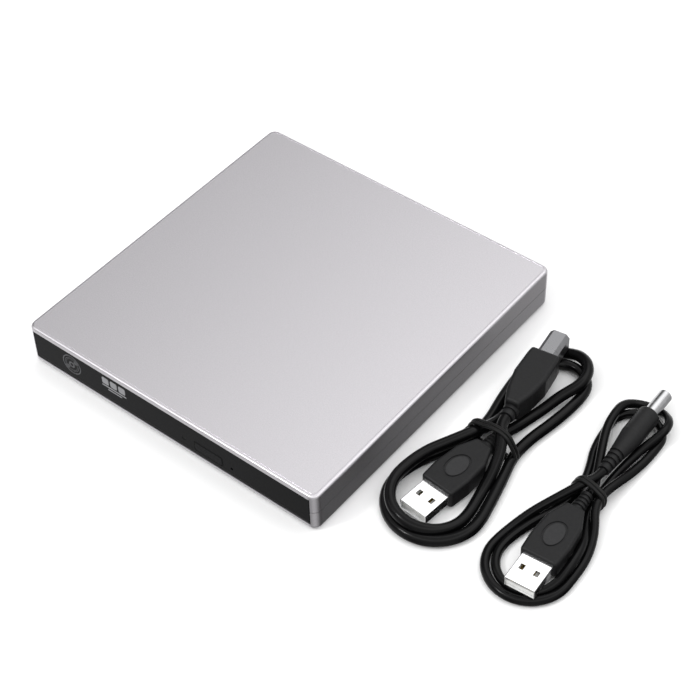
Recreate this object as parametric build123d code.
"""External optical drive: a slim tray-loading drive in a two-part case, with its two USB leads.

Millimetres. +X is to the right as seen from the front, the front panel faces -Y, +Z is up.
The origin is the middle of the drive's footprint, on the surface that its rubber feet stand on.
"""

from build123d import *
import math
import os

os.makedirs("parts", exist_ok=True)

# Driving dimensions of the case
CASE_W = 142.0
CASE_D = 147.0
CASE_H = 18.5
FOOT_H = 0.7
WALL = 1.6
SKIN = 1.5
CORNER_R = 3.5
TOP_R = 1.2
BOTTOM_R = 1.5
GROOVE_INSET = 1.35
GROOVE_W = 0.4
GROOVE_DEPTH = 0.2
SEAM_LOW = 9.7
SEAM_HIGH = 9.9
OPENING_X = 68.4
OPENING_LOW = 3.0
OPENING_HIGH = 16.7

# Places that follow from them
HALF_W = CASE_W / 2
HALF_D = CASE_D / 2
FRONT = -HALF_D
REAR = HALF_D
FLOOR_TOP = FOOT_H + SKIN
ROOF_LOW = CASE_H - SKIN
INNER_X = HALF_W - WALL
BOSS_X = 67.05
BOSS_R = 2.5
BOSS_Y = (-58.0, 66.0)
FOOT_R = 4.0
FOOT_PLACES = [(-60, -62), (60, -62), (-60, 62), (60, 62)]

# The slim drive inside
GAP = 0.2
BEZEL_FRONT = FRONT + 0.2
BEZEL_BACK = FRONT + 4.0
SHEET = 0.5
DRIVE_FRONT = FRONT + 4.5
DRIVE_REAR = 56.0
DRIVE_X = 63.8
PAN_LOW = 3.4
PAN_TOP = PAN_LOW + SHEET
COVER_LOW = 15.4
COVER_TOP = COVER_LOW + SHEET

# Disc, tray and spindle
DISC_Y = -7.0
DISC_POCKET_R = 60.8
SMALL_DISC_R = 40.6
POCKET_Z = 11.5
SMALL_POCKET_Z = 11.1
TRAY_LOW = 10.6
TRAY_TOP = 13.6
TRAY_X = 62.4
TRAY_REAR = 54.6
SKIRT_X = (58.6, 59.8)
TONGUE_X = 61.6
TONGUE_Z = (6.6, 8.6)
TONGUE_Y = (-66.0, 30.0)
DISC_HOLE_R = 7.5
HUB_R = 7.4
HUB_TOP = 14.0
PLATTER_R = 12.5
PLATTER_Z = (11.0, 11.7)
RING_TOP = 12.0

# Pickup mechanism, on the underside of the tray
ROD_Z = 8.2
ROD_R = 1.0
ROD_X = (-15.0, 11.0)
SCREW_X = -21.5
SCREW_R = 1.2
JOURNAL_R = 0.8
FRAME_X = (-26.7, 16.2)
FRAME_Y = (-67.9, 12.0)
FRAME_Z = (6.0, 11.0)
LENS_IN_R = 24.0
LENS_Y = DISC_Y - LENS_IN_R
SLED_Y = (LENS_Y - 3.5, LENS_Y + 11.5)
MOTOR_PLATE_Z = (6.0, 6.6)

# Front panel controls
BUTTON_X = (13.6, 27.0)
BUTTON_Z = (5.4, 9.6)
BUTTON_TRAVEL = 0.6
LED_PLACE = (8.3, 7.9)
PINHOLE_PLACE = (31.6, 7.0)
PINHOLE_R = 0.6

# Latch
LATCH_PIVOT = (43.0, -63.0)
LATCH_POST = (48.0, -57.0)
LATCH_RELEASED = 24.0

# Rear sockets
BOARD_Z = (2.9, 4.1)
USB_B_X = (30.0, 42.0)
USB_B_Z = (4.1, 15.2)
JACK_X = 55.0
JACK_Z = 9.1
JACK_R = 3.15

# Leads
DATA_CORD_R = 2.25
POWER_CORD_R = 1.75
USB_A_W = 12.0
USB_A_H = 4.5
USB_A_LENGTH = 12.5
BARREL_R = 2.75
BARREL_LENGTH = 12.0
COLLAR_R = 3.4
COLLAR_LENGTH = 4.0
BARREL_ROOM = 4.4
BARREL_UNDER = 2.9


def block(x, y, z):
    """A box between two values along each axis."""
    size = (x[1] - x[0], y[1] - y[0], z[1] - z[0])
    return Pos((x[0] + x[1]) / 2, (y[0] + y[1]) / 2, (z[0] + z[1]) / 2) * Box(*size)


def upright(x, y, radius, z):
    """A vertical cylinder between two heights."""
    return Pos(x, y, (z[0] + z[1]) / 2) * Cylinder(radius, z[1] - z[0])


def along_y(x, z, radius, y):
    """A cylinder along Y between two places."""
    return Pos(x, (y[0] + y[1]) / 2, z) * Rot(90, 0, 0) * Cylinder(radius, y[1] - y[0])


def along_x(y, z, radius, x):
    """A cylinder along X between two places."""
    return Pos((x[0] + x[1]) / 2, y, z) * Rot(0, 90, 0) * Cylinder(radius, x[1] - x[0])


def rounded(x, y, z, radius):
    """A box with rounded upright edges."""
    box = block(x, y, z)
    return fillet(box.edges().filter_by(Axis.Z), radius)


def together(shapes):
    """Separate solids that share one node."""
    return Compound(children=list(shapes))


def mirrored(shape):
    """The left-hand twin of a right-hand piece."""
    return mirror(shape, about=Plane.YZ)


# ---- case ---------------------------------------------------------------------------------


def case_outside():
    """The closed outer form of the case, with its edges rounded."""
    body = rounded((-HALF_W, HALF_W), (FRONT, REAR), (FOOT_H, CASE_H), CORNER_R)
    body = fillet(body.faces().sort_by(Axis.Z)[-1].edges(), TOP_R)
    return fillet(body.faces().sort_by(Axis.Z)[0].edges(), BOTTOM_R)


def case_skin():
    """The hollow case with its front opening and its two rear socket openings."""
    inside = rounded(
        (-INNER_X, INNER_X), (FRONT + WALL, REAR - WALL), (FLOOR_TOP, ROOF_LOW), CORNER_R - WALL
    )
    opening = block((-OPENING_X, OPENING_X), (FRONT - 1, FRONT + WALL + 1), (OPENING_LOW, OPENING_HIGH))
    usb = block(
        (USB_B_X[0] - GAP, USB_B_X[1] + GAP), (REAR - 3, REAR + 1), (USB_B_Z[0] - GAP, USB_B_Z[1] + GAP)
    )
    jack = along_y(JACK_X, JACK_Z, 3.9, (REAR - 3, REAR + 1))
    return case_outside() - inside - opening - usb - jack


def edge_groove():
    """A fine groove in the roof, all round, just inside its rounded edge."""
    rings = []
    for inset in (GROOVE_INSET, GROOVE_INSET + GROOVE_W):
        xs = (inset - HALF_W, HALF_W - inset)
        ys = (FRONT + inset, REAR - inset)
        rings.append(rounded(xs, ys, (CASE_H - GROOVE_DEPTH, CASE_H + 1), CORNER_R - inset))
    return rings[0] - rings[1]


def boss_places():
    return [(side * BOSS_X, y) for side in (-1, 1) for y in BOSS_Y]


def bottom_shell(skin):
    """Floor and lower walls, with bosses, support ribs, board posts, foot pockets and a locating tongue."""
    shell = skin & block((-HALF_W, HALF_W), (FRONT, REAR), (0, SEAM_LOW))
    for x, y in boss_places():
        shell += upright(x, y, BOSS_R, (FLOOR_TOP - 0.5, SEAM_LOW))
    for x in (-57, -19, 19, 57):
        shell += block((x - 0.6, x + 0.6), (-66, 54), (FLOOR_TOP - 0.3, PAN_LOW))
    for x, y in [(-24, 68), (20, 68), (61, 60)]:
        shell += upright(x, y, 1.8, (FLOOR_TOP - 0.3, BOARD_Z[0]))
    tongue_z = (SEAM_LOW - 1.5, SEAM_LOW + 1.4)
    inside = INNER_X - GAP
    for side in (-1, 1):
        xs = sorted((side * (inside - 0.8), side * inside))
        root = sorted((side * (inside - 0.8), side * (INNER_X + 0.3)))
        shell += block(xs, (-50, 58), tongue_z)
        shell += block(root, (-50, 58), (tongue_z[0], SEAM_LOW))
    back = REAR - WALL - GAP
    shell += block((-60, 25), (back - 0.8, back), tongue_z)
    shell += block((-60, 25), (back - 0.8, REAR - WALL + 0.3), (tongue_z[0], SEAM_LOW))
    for x, y in boss_places():
        shell -= upright(x, y, 1.05, (0, SEAM_LOW + 1))
        shell -= upright(x, y, 2.0, (0, 4.0))
    for x, y in FOOT_PLACES:
        shell -= upright(x, y, FOOT_R, (0, FOOT_H + 0.4))
    return shell


def top_shell(skin):
    """Roof and upper walls, with bosses and hold-down ribs."""
    shell = skin & block((-HALF_W, HALF_W), (FRONT, REAR), (SEAM_HIGH, CASE_H + 1))
    for x, y in boss_places():
        shell += upright(x, y, BOSS_R, (SEAM_HIGH, ROOF_LOW + 0.5))
    for x in (-57, 57):
        shell += block((x - 0.6, x + 0.6), (-60, 52), (COVER_TOP + 0.1, ROOF_LOW + 0.3))
    for x, y in boss_places():
        shell -= upright(x, y, 0.9, (SEAM_HIGH - 1, 15.5))
    return shell - edge_groove()


def case_screws():
    """Four screws that close the case from below."""
    screws = []
    for x, y in boss_places():
        screw = upright(x, y, 0.9, (4.0, 15.0)) + upright(x, y, 1.8, (2.4, 4.0))
        screw -= block((x - 1.2, x + 1.2), (y - 0.25, y + 0.25), (2.0, 3.1))
        screw -= block((x - 0.25, x + 0.25), (y - 1.2, y + 1.2), (2.0, 3.1))
        screws.append(screw)
    return together(screws)


def rubber_feet():
    feet = []
    for x, y in FOOT_PLACES:
        foot = upright(x, y, FOOT_R, (0, FOOT_H + 0.4))
        feet.append(chamfer(foot.faces().sort_by(Axis.Z)[0].edges(), 0.3))
    return together(feet)


# ---- slim drive: fixed part ---------------------------------------------------------------


def cover_screw_places():
    return [(side, y) for side in (-1, 1) for y in (-38, 38)]


def cover_screws():
    """Four small screws through the cover's flanges into the pan's side walls."""
    screws = []
    for side, y in cover_screw_places():
        shank = along_x(y, 13.9, 0.7, sorted((side * 62.8, side * 64.2)))
        head = along_x(y, 13.9, 1.25, sorted((side * 64.2, side * 64.7)))
        screws.append(shank + head)
    return together(screws)


def drive_chassis():
    """Pressed steel pan with side walls, a rear wall, two board posts and the latch post."""
    inner = DRIVE_X - SHEET
    pan = block((-DRIVE_X, DRIVE_X), (DRIVE_FRONT, DRIVE_REAR), (PAN_LOW, PAN_TOP))
    for side in (-1, 1):
        xs = sorted((side * inner, side * DRIVE_X))
        pan += block(xs, (DRIVE_FRONT, DRIVE_REAR), (PAN_LOW, COVER_LOW - 0.1))
    rear = block((-inner, inner), (DRIVE_REAR - SHEET, DRIVE_REAR), (PAN_TOP, COVER_LOW - 0.1))
    rear -= block((-24, 24), (DRIVE_REAR - 1, DRIVE_REAR + 1), (4.6, 10.2))
    pan += rear
    for x in (-27, 27):
        pan += upright(x, 47, 1.5, (PAN_TOP, 4.7))
    pan += upright(*LATCH_POST, 1.0, (PAN_TOP, 7.6))
    for side, y in cover_screw_places():
        pan -= along_x(y, 13.9, 0.7, sorted((side * 62, side * 65)))
    return pan


def drive_cover():
    """Pressed steel lid with flanges outside the pan's walls."""
    flange = (DRIVE_X + 0.05, DRIVE_X + 0.4)
    rear = (DRIVE_REAR + 0.05, DRIVE_REAR + 0.4)
    lid = block((-flange[1], flange[1]), (DRIVE_FRONT, rear[1]), (COVER_LOW, COVER_TOP))
    for side in (-1, 1):
        xs = sorted((side * flange[0], side * flange[1]))
        lid += block(xs, (DRIVE_FRONT, rear[1]), (12.5, COVER_TOP))
    lid += block((-flange[1], flange[1]), rear, (12.5, COVER_TOP))
    for side, y in cover_screw_places():
        lid -= along_x(y, 13.9, 0.7, sorted((side * 62, side * 65)))
    return lid


def right_rail_guide():
    """Plastic channel on the pan's right wall that the sliding rail runs in."""
    ys = (-67, 50)
    guide = block((62.5, DRIVE_X - SHEET), ys, (5.0, 10.2))
    guide += block((60.6, 62.5), ys, (9.5, 10.2))
    guide += block((60.6, 62.5), ys, (5.0, 5.7))
    return guide


def right_rail():
    """Steel C rail between the guide and the tray's edge. It travels half as far as the tray."""
    ys = (-66.5, 36)
    rail = block((61.8, 62.3), ys, (5.9, 9.3))
    rail += block((60.2, 61.8), ys, (8.8, 9.3))
    rail += block((60.2, 61.8), ys, (5.9, 6.4))
    return rail


def connector_board():
    return block((-30, 30), (44, 55.3), (4.7, 5.7))


def drive_connector():
    """The drive's rear data and power socket."""
    housing = block((-22, 22), (49, DRIVE_REAR + 0.2), (5.7, 9.6))
    return housing - block((-19, 19), (DRIVE_REAR - 3, DRIVE_REAR + 1), (6.9, 8.3))


def flex_cable():
    """Flat ribbon that lies on the pan and rises to the connector board."""
    ribbon = block((0, 10), (-30, 47), (PAN_TOP, PAN_TOP + 0.15))
    return ribbon + block((0, 10), (46.7, 47), (PAN_TOP, 4.7))


# ---- rear compartment ---------------------------------------------------------------------


def bridge_board():
    return block((-28, 62.5), (57.2, 71.2), BOARD_Z)


def bridge_chips():
    """Bridge chip, crystal, two capacitors and a small memory on the bridge board."""
    z = BOARD_Z[1]
    parts = [block((-6, 6), (61.6, 70.2), (z, z + 1.2))]
    parts.append(block((10, 16), (63, 66), (z, z + 2.6)))
    parts.append(upright(-16, 65, 2.4, (z, z + 5.4)))
    parts.append(upright(-22.5, 64, 2.0, (z, z + 5.0)))
    parts.append(block((22, 27), (62, 66), (z, z + 1.4)))
    return together(parts)


def bridge_connector():
    return block((-22, 22), (DRIVE_REAR + 0.6, 60.5), (BOARD_Z[1], 9.6))


def usb_b_outline(margin, depth):
    """The square USB-B opening with its two upper corners cut off, as a prism into the case."""
    half = 4.22 + margin
    high = 3.9 + margin
    cut = 1.5
    middle = (USB_B_Z[0] + USB_B_Z[1]) / 2
    corners = [(-half, -high), (half, -high), (half, high - cut), (half - cut, high)]
    corners += [(cut - half, high), (-half, high - cut)]
    face = make_face(Polyline(*corners, close=True))
    plane = Plane(origin=((USB_B_X[0] + USB_B_X[1]) / 2, REAR, middle), x_dir=(-1, 0, 0), z_dir=(0, 1, 0))
    return extrude(plane * face, -depth)


def usb_b_socket_shell():
    """Metal shield of the USB-B socket, open at the rear face."""
    outer = block(USB_B_X, (57.6, REAR - 0.1), USB_B_Z)
    wall = 0.4
    inner = block(
        (USB_B_X[0] + wall, USB_B_X[1] - wall), (57.6 + wall, REAR), (USB_B_Z[0] + wall, USB_B_Z[1] - wall)
    )
    return outer - inner


def usb_b_socket_insulator():
    """Plastic body of the USB-B socket with its contact tongue."""
    wall = 0.4
    body = block(
        (USB_B_X[0] + wall, USB_B_X[1] - wall),
        (57.6 + wall, REAR - 0.3),
        (USB_B_Z[0] + wall, USB_B_Z[1] - wall),
    )
    body -= usb_b_outline(0.0, 10.0)
    x = (USB_B_X[0] + USB_B_X[1]) / 2
    z = (USB_B_Z[0] + USB_B_Z[1]) / 2
    return body + block((x - 2.8, x + 2.8), (REAR - 10.5, REAR - 1.2), (z - 1.6, z + 1.6))


def dc_jack_pin():
    pin = along_y(JACK_X, JACK_Z, 1.0, (60.5, REAR - 1.0))
    return fillet(pin.faces().sort_by(Axis.Y)[-1].edges(), 0.5)


def dc_jack_body():
    """Power socket: a square body with a round nose through the rear wall."""
    body = block((JACK_X - 4.5, JACK_X + 4.5), (59.0, REAR - WALL - 0.1), (BOARD_Z[1], 14.1))
    body += along_y(JACK_X, JACK_Z, 3.7, (REAR - 3, REAR - 0.2))
    body -= along_y(JACK_X, JACK_Z, JACK_R, (REAR - 11.2, REAR + 1))
    return body - dc_jack_pin()


# ---- tray ---------------------------------------------------------------------------------


def traverse_outline(margin, z):
    """The plan of the pickup opening: a long rectangle and a disc round the spindle."""
    plan = block((-27 - margin, 16.5 + margin), (-68.0 - margin, 12.2 + margin), z)
    return plan + upright(0, DISC_Y, 17 + margin, z)


TRAY_POSTS = [(-54, -62), (-54, 16), (38.5, 16)]
DAMPER_PLACES = [(-30.2, -60), (-30.2, 6), (19.8, -58)]


def tray():
    """Disc tray: a plate with two disc pockets, side skirts with running tongues, and posts below."""
    plate = rounded((-TRAY_X, TRAY_X), (BEZEL_BACK, TRAY_REAR), (TRAY_LOW, TRAY_TOP), 1.5)
    plate -= upright(0, DISC_Y, DISC_POCKET_R, (POCKET_Z, TRAY_TOP + 1))
    plate -= upright(0, DISC_Y, SMALL_DISC_R, (SMALL_POCKET_Z, TRAY_TOP + 1))
    plate -= traverse_outline(0.2, (TRAY_LOW - 1, TRAY_TOP + 1)) & block((-30, 30), (-68.2, 40), (0, 20))
    for side in (-1, 1):
        skirt = sorted((side * SKIRT_X[0], side * SKIRT_X[1]))
        tongue = sorted((side * SKIRT_X[0], side * TONGUE_X))
        plate += block(skirt, TONGUE_Y, (TONGUE_Z[0], TRAY_LOW + 0.3))
        plate += block(tongue, TONGUE_Y, TONGUE_Z)
    for x, y in TRAY_POSTS:
        plate += upright(x, y, 2.2, (5.1, TRAY_LOW + 0.3))
        plate -= upright(x, y, 0.8, (4.0, 9.0))
    for x, y in DAMPER_PLACES:
        plate -= upright(x, y, 0.9, (TRAY_LOW - 1, 11.0))
    plate += upright(*LATCH_PIVOT, 1.6, (6.8, TRAY_LOW + 0.3))
    plate += upright(*LATCH_PIVOT, 0.75, (5.4, 7.0))
    return plate


def tray_bezel():
    """Glossy front panel of the tray, with the button's pocket, the light's hole and the pinhole."""
    xs = (-OPENING_X + GAP, OPENING_X - GAP)
    zs = (OPENING_LOW + GAP, OPENING_HIGH - GAP)
    panel = block(xs, (BEZEL_FRONT, BEZEL_BACK), zs)
    panel = fillet(panel.faces().sort_by(Axis.Y)[0].edges(), 0.35)
    pocket = block(
        (BUTTON_X[0] - GAP, BUTTON_X[1] + GAP),
        (FRONT - 1, FRONT + 2.6),
        (BUTTON_Z[0] - GAP, BUTTON_Z[1] + GAP),
    )
    pocket = fillet(pocket.edges().filter_by(Axis.Y), 1.0)
    panel -= pocket
    panel -= block((18.7, 21.9), (FRONT, FRONT + 5), (6.6, 8.4))
    panel -= along_y(*LED_PLACE, 0.9, (FRONT - 1, FRONT + 5))
    return panel - along_y(*PINHOLE_PLACE, PINHOLE_R, (FRONT - 1, FRONT + 5))


def eject_button():
    """Push button in the front panel, with a stem that reaches the switch."""
    cap = block(BUTTON_X, (FRONT + 0.1, FRONT + 1.6), BUTTON_Z)
    cap = fillet(cap.edges().filter_by(Axis.Y), 0.8)
    cap = fillet(cap.faces().sort_by(Axis.Y)[0].edges(), 0.25)
    return cap + block((19.0, 21.6), (FRONT + 1.5, FRONT + 4.5), (6.9, 8.1))


def led_light_pipe():
    """Clear light guide from the board's edge to the front panel."""
    window = along_y(*LED_PLACE, 0.9, (FRONT + 0.3, BEZEL_BACK + 0.1))
    return window + block((7.4, 18.0), (BEZEL_BACK, BEZEL_BACK + 1.0), (7.0, 8.8))


def tray_under_plate():
    """Sheet cover below the tray's mechanism, with three spacers for the board."""
    plate = block((-57, 41), (-69, 22), (4.6, 5.1))
    for x, y in [(20.5, -60), (34, -64), (27, 6)]:
        plate += upright(x, y, 1.5, (5.0, 5.9))
    for x, y in TRAY_POSTS:
        plate -= upright(x, y, 0.8, (4, 6))
    return plate


def tray_screws():
    """Three screws for the under plate and three for the pickup frame."""
    screws = []
    for x, y in TRAY_POSTS:
        screws.append(upright(x, y, 0.8, (4.5, 8.8)) + upright(x, y, 1.7, (4.2, 4.6)))
    for x, y in DAMPER_PLACES:
        screws.append(upright(x, y, 0.9, (8.0, 11.0)) + upright(x, y, 1.9, (7.7, 8.4)))
    return together(screws)


def drive_board():
    """Main circuit board, under the front right of the tray."""
    return block((18, 36.5), (-67.8, 10), (5.9, 6.9))


def drive_board_chips():
    parts = [block((21, 33), (-50, -38), (6.9, 8.0)), block((22, 32), (-30, -20), (6.9, 7.9))]
    parts.append(block((20, 35), (-4, 2), (6.9, 8.6)))
    parts.append(block((27, 34), (-16, -10), (6.9, 8.2)))
    return together(parts)


def eject_switch():
    """Small switch on the board with its plunger towards the button."""
    body = block((17.9, 23), (-67.4, -63.4), (6.9, 9.6))
    return body + along_y(20.3, 7.8, 0.6, (-68.3, -67.0))


def latch_solenoid():
    coil = rounded((50.8, 57.6), (-66, -54), (5.6, 10.6), 1.0)
    return coil - along_y(54.2, 8.1, 1.2, (-67, -60))


def latch_hook():
    """Latch lever, drawn engaged and then turned to where it lets the tray go."""
    lever = upright(0, 0, 1.9, (5.7, 6.7))
    lever += block((-1.2, 1.2), (0, 9.0), (5.7, 6.7))
    lever += block((-1.2, 5.6), (7.3, 9.0), (5.7, 6.7))
    lever -= upright(0, 0, 0.8, (5, 7))
    return Pos(LATCH_PIVOT[0], LATCH_PIVOT[1], 0) * Rot(0, 0, LATCH_RELEASED) * lever


# ---- pickup mechanism ---------------------------------------------------------------------


def guide_rods():
    return together([along_y(x, ROD_Z, ROD_R, (FRAME_Y[0] + 0.2, -13.0)) for x in ROD_X])


def traverse_frame():
    """Frame that carries the spindle motor, the rods and the lead screw."""
    wall = 1.0
    frame = block(FRAME_X, FRAME_Y, FRAME_Z)
    frame -= block((FRAME_X[0] + wall, FRAME_X[1] - wall), (FRAME_Y[0] + wall, FRAME_Y[1] - wall), (0, 20))
    frame += block((FRAME_X[0] + 0.5, -12.2), (-14, -12.6), (6.0, 10.2))
    frame += block((9.8, FRAME_X[1] - 0.5), (-14, -12.8), (6.0, 10.2))
    floor = block((FRAME_X[0] + 0.5, FRAME_X[1] - 0.5), (-12.9, FRAME_Y[1] - 0.5), MOTOR_PLATE_Z)
    frame += floor
    frame -= block((-11.0, 11.0), (-18.4, 4.4), MOTOR_PLATE_Z)
    for x, y in DAMPER_PLACES:
        edge = FRAME_X[0] if x < 0 else FRAME_X[1]
        ear = upright(x, y, 3.0, (8.4, 9.4)) + block(sorted((x, edge)), (y - 3.0, y + 3.0), (8.4, 9.4))
        frame += ear
        frame -= upright(x, y, 0.9, (8, 10))
    for rod in guide_rods().solids():
        frame -= rod
    frame -= along_y(SCREW_X, ROD_Z, JOURNAL_R + 0.05, (FRAME_Y[0] - 1, -10))
    frame -= along_y(SCREW_X, ROD_Z, 2.3, (0.3, FRAME_Y[1] + 1))
    return frame


def traverse_cover():
    """Thin sheet over the pickup mechanism, with the spindle hole and the lens slot."""
    sheet = traverse_outline(0.0, (FRAME_Z[1], FRAME_Z[1] + 0.3))
    sheet -= upright(0, DISC_Y, PLATTER_R + 0.7, (10, 13))
    return sheet - block((-5.5, 5.5), (-70, DISC_Y), (10, 13))


def traverse_dampers():
    rings = [upright(x, y, 2.6, (9.4, TRAY_LOW)) - upright(x, y, 0.95, (9, 11)) for x, y in DAMPER_PLACES]
    return together(rings)


def stepper_motor():
    return along_y(SCREW_X, ROD_Z, 2.3, (0.3, 11.6))


def lead_screw():
    """Screw that moves the pickup: a threaded length with crests, and two journals."""
    core = along_y(SCREW_X, ROD_Z, SCREW_R - 0.3, (-66.5, -14.6))
    for number in range(34):
        start = -66.3 + 1.5 * number
        core += along_y(SCREW_X, ROD_Z, SCREW_R, (start, start + 0.7))
    return core + along_y(SCREW_X, ROD_Z, JOURNAL_R, (FRAME_Y[0] + 0.1, 0.1))


def sled():
    """Pickup body on the two rods, with a nut arm that reaches the lead screw."""
    body = block((-17.8, 13.8), SLED_Y, (6.3, 9.9))
    body = chamfer(body.edges().filter_by(Axis.Z), 0.8)
    for x in ROD_X:
        body -= along_y(x, ROD_Z, ROD_R + 0.03, (SLED_Y[0] - 1, SLED_Y[1] + 1))
    body -= block((-6.2, 6.2), (SLED_Y[0] - 1, LENS_Y + 6.0), (7.4, 11))
    arm = block((SCREW_X + SCREW_R + 0.2, -17.5), (SLED_Y[0] + 5, SLED_Y[1] - 4), (7.4, 9.0))
    return body + arm


def actuator_magnets():
    left = block((-6.2, -4.9), (LENS_Y - 2.5, LENS_Y + 4.5), (7.4, 9.6))
    return together([left, mirrored(left)])


def lens_holder():
    holder = rounded((-4.5, 4.5), (LENS_Y - 3.0, LENS_Y + 5.0), (8.0, 9.9), 0.8)
    holder += upright(0, LENS_Y, 2.9, (9.8, 10.6))
    return holder - upright(0, LENS_Y, 2.0, (9.9, 12))


def objective_lens():
    lens = upright(0, LENS_Y, 2.0, (9.9, 11.1))
    return fillet(lens.faces().sort_by(Axis.Z)[-1].edges(), 0.6)


def spindle_motor_base():
    """Motor plate with the bearing tube and the stator round it."""
    base = block((-11.0, 11.0), (-18.4, 4.4), MOTOR_PLATE_Z)
    base += upright(0, DISC_Y, 3.2, (6.3, 9.4))
    base += upright(0, DISC_Y, 9.6, (7.0, 9.0)) + upright(0, DISC_Y, 6.5, (6.3, 7.2))
    return base - upright(0, DISC_Y, 1.04, (6.3, 10))


def claw_slot():
    return block((4.1, 8.5), (-1.3, 1.3), (12.4, HUB_TOP + 1))


def turntable():
    """Motor rotor, shaft, platter and disc hub in one piece."""
    rotor = upright(0, DISC_Y, 11.0, (7.2, 10.4)) - upright(0, DISC_Y, 10.4, (7.0, 9.8))
    rotor += upright(0, DISC_Y, 1.0, (6.5, 10.0))
    rotor += upright(0, DISC_Y, 5.0, (10.3, 11.2))
    rotor += upright(0, DISC_Y, PLATTER_R, PLATTER_Z)
    hub = upright(0, DISC_Y, HUB_R, (PLATTER_Z[1] - 0.3, HUB_TOP))
    rotor += chamfer(hub.faces().sort_by(Axis.Z)[-1].edges(), 0.6)
    for number in range(3):
        rotor -= Pos(0, DISC_Y, 0) * Rot(0, 0, 90 + 120 * number) * claw_slot()
    return rotor


def turntable_ring():
    return upright(0, DISC_Y, 12.2, (PLATTER_Z[1], RING_TOP)) - upright(0, DISC_Y, 9.4, (11, 13))


def hub_claw(number):
    """Sprung claw that holds the disc down. Its nose stands past the hub's side."""
    claw = block((4.9, 7.3), (-1.1, 1.1), (12.6, 13.7)) + block((7.0, 7.8), (-1.1, 1.1), (13.3, 13.7))
    claw = chamfer(claw.edges().filter_by(Axis.Y).sort_by(Axis.X)[-1], 0.25)
    return Pos(0, DISC_Y, 0) * Rot(0, 0, 90 + 120 * number) * claw


# ---- leads --------------------------------------------------------------------------------

# Each place is (x, y, z) of the middle of the grip's front face and the angle that the plug points at.
DATA_A_PLACE = (95.9, -35.6, 5.2, -95.0)
DATA_B_PLACE = (92.7, 38.6, 9.8, 98.5)
POWER_A_PLACE = (143.2, -40.6, 6.2, -85.5)
POWER_DC_PLACE = (137.6, 41.0, 6.6, 92.0)
DATA_TIE_Y = (-4.6, -1.6)
POWER_TIE_Y = (-3.6, -0.8)

DATA_OUTLINE = [
    (86.6, -3), (80.2, -17), (77.0, -32), (80.4, -46), (89.0, -54.6), (100, -57.3), (110.6, -54),
    (116.6, -43), (115.6, -29), (110.2, -15), (108.0, -3), (109.4, 12), (111.9, 29), (109.6, 43),
    (103, 52.4), (94, 53.4), (86.4, 46), (83.4, 31), (85.0, 14),
]
DATA_LOWER_HOLE = [
    (97.5, -9), (89.5, -20), (86.4, -33), (89.2, -43),
    (97, -47.6), (103.6, -43), (105, -32), (102.4, -19),
]
DATA_UPPER_HOLE = [
    (97.5, 9), (93, 18), (92.4, 31), (94.5, 41),
    (98.5, 44), (102, 38), (102.2, 27), (100.6, 16),
]
POWER_OUTLINE = [
    (133.8, -2), (129.5, -13), (123.6, -26), (122.1, -38), (126.4, -48.6), (134.4, -55.6), (144.6, -57.4),
    (153, -53), (157, -42), (155, -28), (149.6, -15), (145.4, -2), (146.4, 14), (148.6, 30),
    (146.4, 42), (139.6, 48.6), (130.6, 46), (125.2, 37), (127.2, 22), (132.2, 9),
]
POWER_LOWER_HOLE = [
    (140, -9), (134.8, -18), (130.4, -29), (130.2, -39), (134.8, -47.4),
    (142.6, -50), (148.4, -44), (148.4, -30), (144.6, -17),
]
POWER_UPPER_HOLE = [
    (138.6, 8), (135.4, 17), (131.6, 29), (132.2, 37),
    (137, 41.6), (141, 37), (141.8, 26), (140.8, 15),
]


def place(spot):
    """The location of a plug whose own +X points out of its mouth."""
    x, y, z, angle = spot
    return Pos(x, y, z) * Rot(0, 0, angle)


def hank(outline, holes, height):
    """The outer form of a lead tied in a figure of eight, with its two loops open."""
    body = extrude(make_face(Spline(*outline, periodic=True)), height)
    for hole in holes:
        body -= extrude(make_face(Spline(*hole, periodic=True)), height)
    return body


def power_hank():
    """The power lead, with room round the barrel that lies on it."""
    room = block((0, BARREL_LENGTH + 8), (-BARREL_ROOM, BARREL_ROOM), (BARREL_UNDER - POWER_DC_PLACE[2], 5.0))
    whole = hank(POWER_OUTLINE, (POWER_LOWER_HOLE, POWER_UPPER_HOLE), 4 * POWER_CORD_R)
    return whole - place(POWER_DC_PLACE) * room


def tie(xs, ys, top):
    """A wrapped tie round the waist of a lead."""
    band = rounded(xs, ys, (0.0, top), 0.8)
    return band - block((xs[0] + 1.1, xs[1] - 1.1), (ys[0] - 1, ys[1] + 1), (0.9, top - 1.1))


def lead_ties():
    return together([tie((85.2, 109.4), DATA_TIE_Y, 12.8), tie((132.6, 146.6), POWER_TIE_Y, 10.6)])


def usb_a_shell():
    """Folded metal shell of a USB-A plug, with two square windows above and two below."""
    half_w = USB_A_W / 2
    half_h = USB_A_H / 2
    wall = 0.3
    outer = block((-3.0, USB_A_LENGTH), (-half_w, half_w), (-half_h, half_h))
    outer = fillet(outer.edges().filter_by(Axis.X), 0.35)
    inner = block((-2.6, USB_A_LENGTH + 1), (wall - half_w, half_w - wall), (wall - half_h, half_h - wall))
    shell = outer - inner
    for side in (-1, 1):
        shell -= block((4.4, 6.9), (side * 2.9 - 0.95, side * 2.9 + 0.95), (-4, 4))
    return shell


def usb_a_tongue():
    """Contact carrier inside a USB-A plug."""
    return block((-2.6, USB_A_LENGTH - 0.8), (-5.6, 5.6), (0.1 - USB_A_H / 2 + 0.3, -0.1))


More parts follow.
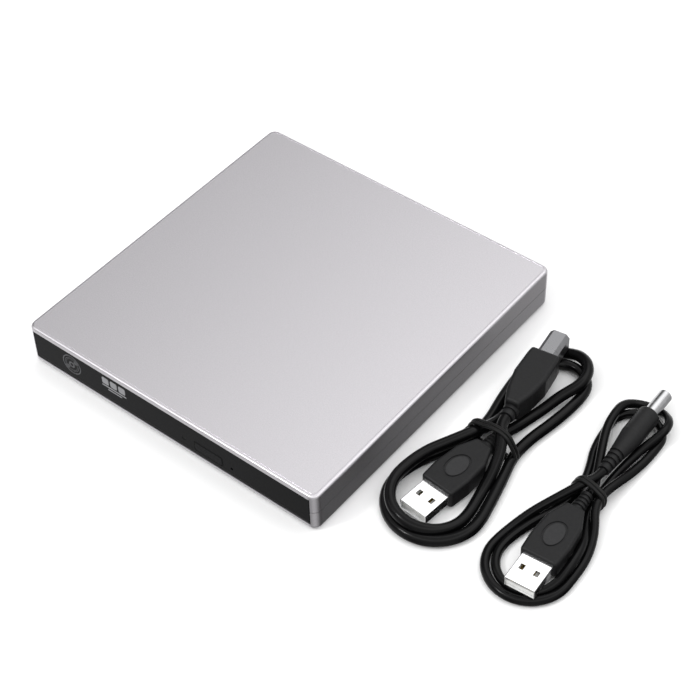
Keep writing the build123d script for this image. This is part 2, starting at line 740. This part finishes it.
def ribbed_relief(start, length, big, small, ribs):
    """A tapered strain relief along -X with ribs round it."""
    relief = Pos(start - length / 2, 0, 0) * Rot(0, -90, 0) * Cone(big, small, length)
    pitch = length / (ribs + 1)
    for number in range(1, ribs + 1):
        x = start - pitch * number
        radius = big + (small - big) * number / (ribs + 1)
        ring = along_x(0, 0, radius + 1, (x - pitch / 4, x + pitch / 4))
        ring -= along_x(0, 0, radius - 0.55, (x - pitch, x + pitch))
        relief -= ring
    return relief


def usb_a_grip(thick, relief_r, relief_length):
    """Moulded grip of a USB-A plug, with an oval badge sunk in its top and a ribbed relief."""
    plan = [(0, -7.2), (-9, -7.8), (-19, -7.0), (-27, -3.6), (-27, 3.6), (-19, 7.0), (-9, 7.8), (0, 7.2)]
    grip = extrude(make_face(Polyline(*plan, close=True)), thick / 2, both=True)
    grip = fillet(grip.edges().filter_by(Axis.Z), 1.4)
    grip = fillet(grip.faces().sort_by(Axis.Z)[-1].edges(), 1.3)
    grip = fillet(grip.faces().sort_by(Axis.Z)[0].edges(), 1.3)
    badge = Pos(-11.5, 0, thick / 2 - 0.3) * extrude(Ellipse(6.2, 4.3), 1)
    badge -= Pos(-11.5, 0, thick / 2 - 1) * extrude(Ellipse(5.4, 3.5), 3)
    grip -= badge
    grip += ribbed_relief(-26.8, relief_length, relief_r + 1.0, relief_r + 0.5, 4)
    grip -= block((-3.0, 1), (-USB_A_W / 2, USB_A_W / 2), (-USB_A_H / 2, USB_A_H / 2))
    return grip


def usb_b_prism(margin, x):
    """The square USB-B form with its two upper corners cut off."""
    half = 4.0 - margin
    high = 3.63 - margin
    cut = 1.5
    corners = [(-half, -high), (half, -high), (half, high - cut), (half - cut, high)]
    corners += [(cut - half, high), (-half, high - cut)]
    face = make_face(Polyline(*corners, close=True))
    plane = Plane(origin=(x[0], 0, 0), x_dir=(0, 1, 0), z_dir=(1, 0, 0))
    return extrude(plane * face, x[1] - x[0])


def usb_b_shell():
    """Folded metal shell of a USB-B plug, open at its mouth."""
    return usb_b_prism(0.0, (-3.0, 12.4)) - usb_b_prism(0.35, (-2.6, 13.4))


def usb_b_insert():
    """Plastic inside a USB-B plug, with the hollow that takes the socket's tongue."""
    return usb_b_prism(0.4, (-2.6, 12.0)) - block((1.0, 13), (-2.9, 2.9), (-1.7, 1.7))


def usb_b_grip():
    """Moulded grip of a USB-B plug."""
    plan = [(0, -5.9), (-3.4, -6.3), (-14, -6.6), (-23, -5.0), (-29.5, -2.9)]
    plan += [(x, -y) for x, y in reversed(plan)]
    grip = extrude(make_face(Polyline(*plan, close=True)), 5.2, both=True)
    grip = fillet(grip.edges().filter_by(Axis.Z), 1.2)
    grip = fillet(grip.faces().sort_by(Axis.Z)[-1].edges(), 1.6)
    grip = fillet(grip.faces().sort_by(Axis.Z)[0].edges(), 1.6)
    grip += ribbed_relief(-29.2, 4.4, DATA_CORD_R + 0.9, DATA_CORD_R + 0.5, 1)
    return grip - usb_b_prism(0.0, (-3.0, 1))


def dc_barrel():
    """Hollow barrel of the power plug, with the wider collar that the grip is moulded round."""
    barrel = along_x(0, 0, BARREL_R, (-1.0, BARREL_LENGTH))
    barrel = fillet(barrel.faces().sort_by(Axis.X)[-1].edges(), 0.3)
    barrel += along_x(0, 0, COLLAR_R, (-COLLAR_LENGTH, 0))
    return barrel - along_x(0, 0, 1.1, (1.0, BARREL_LENGTH + 1))


def dc_grip():
    """Round tapered grip of the power plug, ribbed towards the cord."""
    grip = along_x(0, 0, 4.4, (-13.0, 0))
    grip = fillet(grip.faces().sort_by(Axis.X)[-1].edges(), 0.8)
    grip += Pos(-17.5, 0, 0) * Rot(0, -90, 0) * Cone(4.4, 3.3, 9.0)
    grip += ribbed_relief(-21.9, 11.0, 3.3, POWER_CORD_R + 0.5, 4)
    return grip - along_x(0, 0, COLLAR_R, (-COLLAR_LENGTH, 1))


def plug_inserts():
    """The contact carriers inside the three USB plugs."""
    data_a = place(DATA_A_PLACE) * usb_a_tongue()
    power_a = place(POWER_A_PLACE) * usb_a_tongue()
    data_b = place(DATA_B_PLACE) * usb_b_insert()
    return together([data_a, power_a, data_b])


def all_parts():
    """Every node of the assembly by name."""
    skin = case_skin()
    guide = right_rail_guide()
    rail = right_rail()
    parts = {
        "bottom_shell": bottom_shell(skin),
        "top_shell": top_shell(skin),
        "case_screws": case_screws(),
        "rubber_feet": rubber_feet(),
        "drive_chassis": drive_chassis(),
        "drive_cover": drive_cover(),
        "cover_screws": cover_screws(),
        "right_rail_guide": guide,
        "left_rail_guide": mirrored(guide),
        "right_rail": rail,
        "left_rail": mirrored(rail),
        "connector_board": connector_board(),
        "drive_connector": drive_connector(),
        "flex_cable": flex_cable(),
        "bridge_board": bridge_board(),
        "bridge_chips": bridge_chips(),
        "bridge_connector": bridge_connector(),
        "usb_b_socket_shell": usb_b_socket_shell(),
        "usb_b_socket_insulator": usb_b_socket_insulator(),
        "dc_jack_body": dc_jack_body(),
        "dc_jack_pin": dc_jack_pin(),
        "tray": tray(),
        "tray_bezel": tray_bezel(),
        "eject_button": eject_button(),
        "led_light_pipe": led_light_pipe(),
        "tray_under_plate": tray_under_plate(),
        "tray_screws": tray_screws(),
        "drive_board": drive_board(),
        "drive_board_chips": drive_board_chips(),
        "eject_switch": eject_switch(),
        "latch_solenoid": latch_solenoid(),
        "latch_hook": latch_hook(),
        "guide_rods": guide_rods(),
        "traverse_frame": traverse_frame(),
        "traverse_cover": traverse_cover(),
        "traverse_dampers": traverse_dampers(),
        "stepper_motor": stepper_motor(),
        "lead_screw": lead_screw(),
        "sled": sled(),
        "actuator_magnets": actuator_magnets(),
        "lens_holder": lens_holder(),
        "objective_lens": objective_lens(),
        "spindle_motor_base": spindle_motor_base(),
        "turntable": turntable(),
        "turntable_ring": turntable_ring(),
        "data_lead_hank": hank(DATA_OUTLINE, (DATA_LOWER_HOLE, DATA_UPPER_HOLE), 4 * DATA_CORD_R),
        "power_lead_hank": power_hank(),
        "lead_ties": lead_ties(),
        "plug_inserts": plug_inserts(),
        "data_usb_a_shell": place(DATA_A_PLACE) * usb_a_shell(),
        "data_usb_a_grip": place(DATA_A_PLACE) * usb_a_grip(8.6, DATA_CORD_R, 8.0),
        "data_usb_b_shell": place(DATA_B_PLACE) * usb_b_shell(),
        "data_usb_b_grip": place(DATA_B_PLACE) * usb_b_grip(),
        "power_usb_a_shell": place(POWER_A_PLACE) * usb_a_shell(),
        "power_usb_a_grip": place(POWER_A_PLACE) * usb_a_grip(8.0, POWER_CORD_R, 9.0),
        "power_dc_barrel": place(POWER_DC_PLACE) * dc_barrel(),
        "power_dc_grip": place(POWER_DC_PLACE) * dc_grip(),
    }
    for number in range(3):
        parts[f"hub_claw_{number + 1}"] = hub_claw(number)
    return parts


for name, shape in all_parts().items():
    export_step(shape, f"parts/{name}.step")
